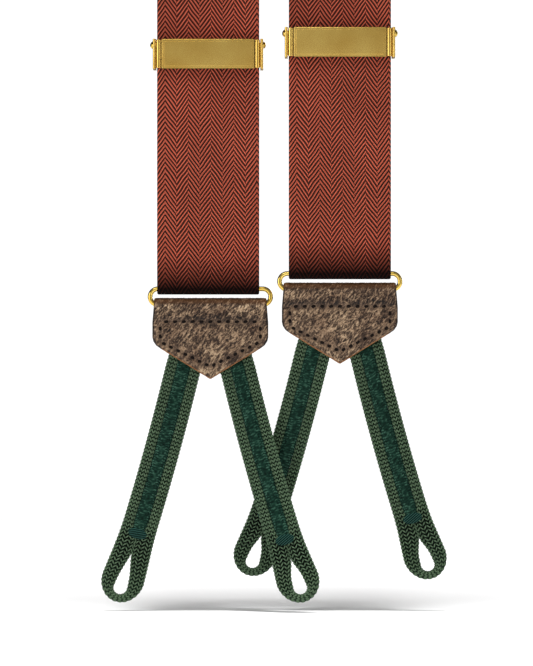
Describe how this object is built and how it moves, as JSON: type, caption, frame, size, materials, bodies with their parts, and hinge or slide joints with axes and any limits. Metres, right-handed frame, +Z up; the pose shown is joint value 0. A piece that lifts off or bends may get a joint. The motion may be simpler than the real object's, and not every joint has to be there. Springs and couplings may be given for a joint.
{
  "type": "button-on dress braces",
  "caption": "Pair of woven straps over a leather back patch, with brass lever adjusters, wire rings and leather tabs whose braided cord runners end in button loops.",
  "frame": {"origin": "the axis of the rail that the braces hang over, midway between the two straps", "axes": "+X to the right across the straps, -Y towards the fronts and the viewer, +Z up"},
  "size_m": [0.1294, 0.0488, 0.6626],
  "materials": {
    "strap_webbing": "herringbone woven braces webbing",
    "elastic_webbing": "woven elastic",
    "patch_leather": "waxed leather",
    "tab_leather": "waxed leather, rubbed tan at the edges",
    "thread": "waxed thread",
    "brass_frame": "satin brushed",
    "brass_lever": "satin brushed",
    "brass_wire": "polished wire",
    "runner_braid": "braided cord",
    "runner_strip": "fine ribbed strip",
    "bartack_thread": "satin-stitched thread"
  },
  "bodies": {
    "root": {"left_shoulder_web": "strap_webbing", "right_shoulder_web": "strap_webbing", "left_front_web": "strap_webbing", "right_front_web": "strap_webbing", "back_patch_outer": "patch_leather", "back_patch_inner": "patch_leather", "back_patch_stitching": "thread", "rear_elastic": "elastic_webbing"},
    "left_bight": {"left_bight": "strap_webbing", "left_return_web": "strap_webbing"},
    "left_adjuster": {"left_adjuster_frame": "brass_frame", "left_adjuster_pin": "brass_wire", "left_strap_end": "strap_webbing", "left_strap_end_stitching": "thread"},
    "left_lever": {"left_adjuster_lever": "brass_lever"},
    "right_bight": {"right_bight": "strap_webbing", "right_return_web": "strap_webbing"},
    "right_adjuster": {"right_adjuster_frame": "brass_frame", "right_adjuster_pin": "brass_wire", "right_strap_end": "strap_webbing", "right_strap_end_stitching": "thread"},
    "right_lever": {"right_adjuster_lever": "brass_lever"},
    "rear_bight": {"rear_bight": "elastic_webbing", "rear_bight_stitching": "thread"},
    "left_ring": {"left_ring": "brass_wire"},
    "left_tab": {"left_tab_leather": "tab_leather", "left_tab_stitching": "thread", "left_tab_runner_ends": "runner_braid"},
    "left_left_runner": {"left_left_braid": "runner_braid", "left_left_core": "runner_strip", "left_left_bartack": "bartack_thread"},
    "left_right_runner": {"left_right_braid": "runner_braid", "left_right_core": "runner_strip", "left_right_bartack": "bartack_thread"},
    "right_ring": {"right_ring": "brass_wire"},
    "right_tab": {"right_tab_leather": "tab_leather", "right_tab_stitching": "thread", "right_tab_runner_ends": "runner_braid"},
    "right_left_runner": {"right_left_braid": "runner_braid", "right_left_core": "runner_strip", "right_left_bartack": "bartack_thread"},
    "right_right_runner": {"right_right_braid": "runner_braid", "right_right_core": "runner_strip", "right_right_bartack": "bartack_thread"},
    "rear_ring": {"rear_ring": "brass_wire"},
    "rear_tab": {"rear_tab_leather": "tab_leather", "rear_tab_stitching": "thread", "rear_tab_runner_ends": "runner_braid"},
    "rear_left_runner": {"rear_left_braid": "runner_braid", "rear_left_core": "runner_strip", "rear_left_bartack": "bartack_thread"},
    "rear_right_runner": {"rear_right_braid": "runner_braid", "rear_right_core": "runner_strip", "rear_right_bartack": "bartack_thread"}
  },
  "joints": [
    {"name": "left_length_slide", "type": "slide", "parent": "root", "child": "left_bight", "axis": [0, 0, 1], "range_m": [-0.04, 0.08], "deforming": ["left_front_web"]},
    {"name": "left_adjuster_slide", "type": "slide", "parent": "left_bight", "child": "left_adjuster", "axis": [0, 0, 1], "range_m": [-0.04, 0.08], "deforming": ["left_return_web"]},
    {"name": "left_lever_hinge", "type": "hinge", "parent": "left_adjuster", "child": "left_lever", "pos_m": [-0.0245, -0.0198, -0.43815], "axis": [1, 0, 0], "range_deg": [-100, 0]},
    {"name": "right_length_slide", "type": "slide", "parent": "root", "child": "right_bight", "axis": [0, 0, 1], "range_m": [-0.04, 0.08], "deforming": ["right_front_web"]},
    {"name": "right_adjuster_slide", "type": "slide", "parent": "right_bight", "child": "right_adjuster", "axis": [0, 0, 1], "range_m": [-0.04, 0.08], "deforming": ["right_return_web"]},
    {"name": "right_lever_hinge", "type": "hinge", "parent": "right_adjuster", "child": "right_lever", "pos_m": [0.0245, -0.0198, -0.43375], "axis": [1, 0, 0], "range_deg": [-100, 0]},
    {"name": "elastic_stretch", "type": "slide", "parent": "root", "child": "rear_bight", "axis": [0, 0, -1], "range_m": [0, 0.03], "stiffness_N_per_m": 60, "springref_m": -0.008, "deforming": ["rear_elastic"]},
    {"name": "left_ring_hinge", "type": "hinge", "parent": "left_bight", "child": "left_ring", "pos_m": [-0.0237, -0.01505, -0.52855], "axis": [1, 0, 0], "range_deg": [-60, 0]},
    {"name": "left_tab_hinge", "type": "hinge", "parent": "left_ring", "child": "left_tab", "pos_m": [-0.0237, -0.01505, -0.53445], "axis": [1, 0, 0], "range_deg": [-45, 0]},
    {"name": "left_left_runner_bend", "type": "hinge", "parent": "left_tab", "child": "left_left_runner", "pos_m": [-0.0341, -0.01505, -0.5592], "axis": [0.9603, 0, -0.279], "range_deg": [-30, 30], "stiffness_Nm_per_rad": 0.02},
    {"name": "left_right_runner_bend", "type": "hinge", "parent": "left_tab", "child": "left_right_runner", "pos_m": [-0.0133, -0.01505, -0.5592], "axis": [0.9603, 0, 0.279], "range_deg": [-30, 0], "stiffness_Nm_per_rad": 0.02},
    {"name": "right_ring_hinge", "type": "hinge", "parent": "right_bight", "child": "right_ring", "pos_m": [0.0245, -0.01505, -0.52285], "axis": [1, 0, 0], "range_deg": [0, 60]},
    {"name": "right_tab_hinge", "type": "hinge", "parent": "right_ring", "child": "right_tab", "pos_m": [0.0245, -0.01505, -0.52875], "axis": [1, 0, 0], "range_deg": [0, 45]},
    {"name": "right_left_runner_bend", "type": "hinge", "parent": "right_tab", "child": "right_left_runner", "pos_m": [0.0141, -0.01505, -0.5535], "axis": [0.9603, 0, -0.279], "range_deg": [0, 30], "stiffness_Nm_per_rad": 0.02},
    {"name": "right_right_runner_bend", "type": "hinge", "parent": "right_tab", "child": "right_right_runner", "pos_m": [0.0349, -0.01505, -0.5535], "axis": [0.9603, 0, 0.279], "range_deg": [-30, 30], "stiffness_Nm_per_rad": 0.02},
    {"name": "rear_ring_hinge", "type": "hinge", "parent": "rear_bight", "child": "rear_ring", "pos_m": [0, 0.01835, -0.27345], "axis": [1, 0, 0], "range_deg": [-6, 60]},
    {"name": "rear_tab_hinge", "type": "hinge", "parent": "rear_ring", "child": "rear_tab", "pos_m": [0, 0.01835, -0.27935], "axis": [1, 0, 0], "range_deg": [-5, 45]},
    {"name": "rear_left_runner_bend", "type": "hinge", "parent": "rear_tab", "child": "rear_left_runner", "pos_m": [-0.0104, 0.01835, -0.3041], "axis": [0.9603, 0, -0.279], "range_deg": [-5, 30], "stiffness_Nm_per_rad": 0.02},
    {"name": "rear_right_runner_bend", "type": "hinge", "parent": "rear_tab", "child": "rear_right_runner", "pos_m": [0.0104, 0.01835, -0.3041], "axis": [0.9603, 0, 0.279], "range_deg": [-5, 30], "stiffness_Nm_per_rad": 0.02}
  ],
  "couplings": [
    {"joint": "left_adjuster_slide", "follows": "left_length_slide", "ratio": 1},
    {"joint": "right_adjuster_slide", "follows": "right_length_slide", "ratio": 1}
  ]
}
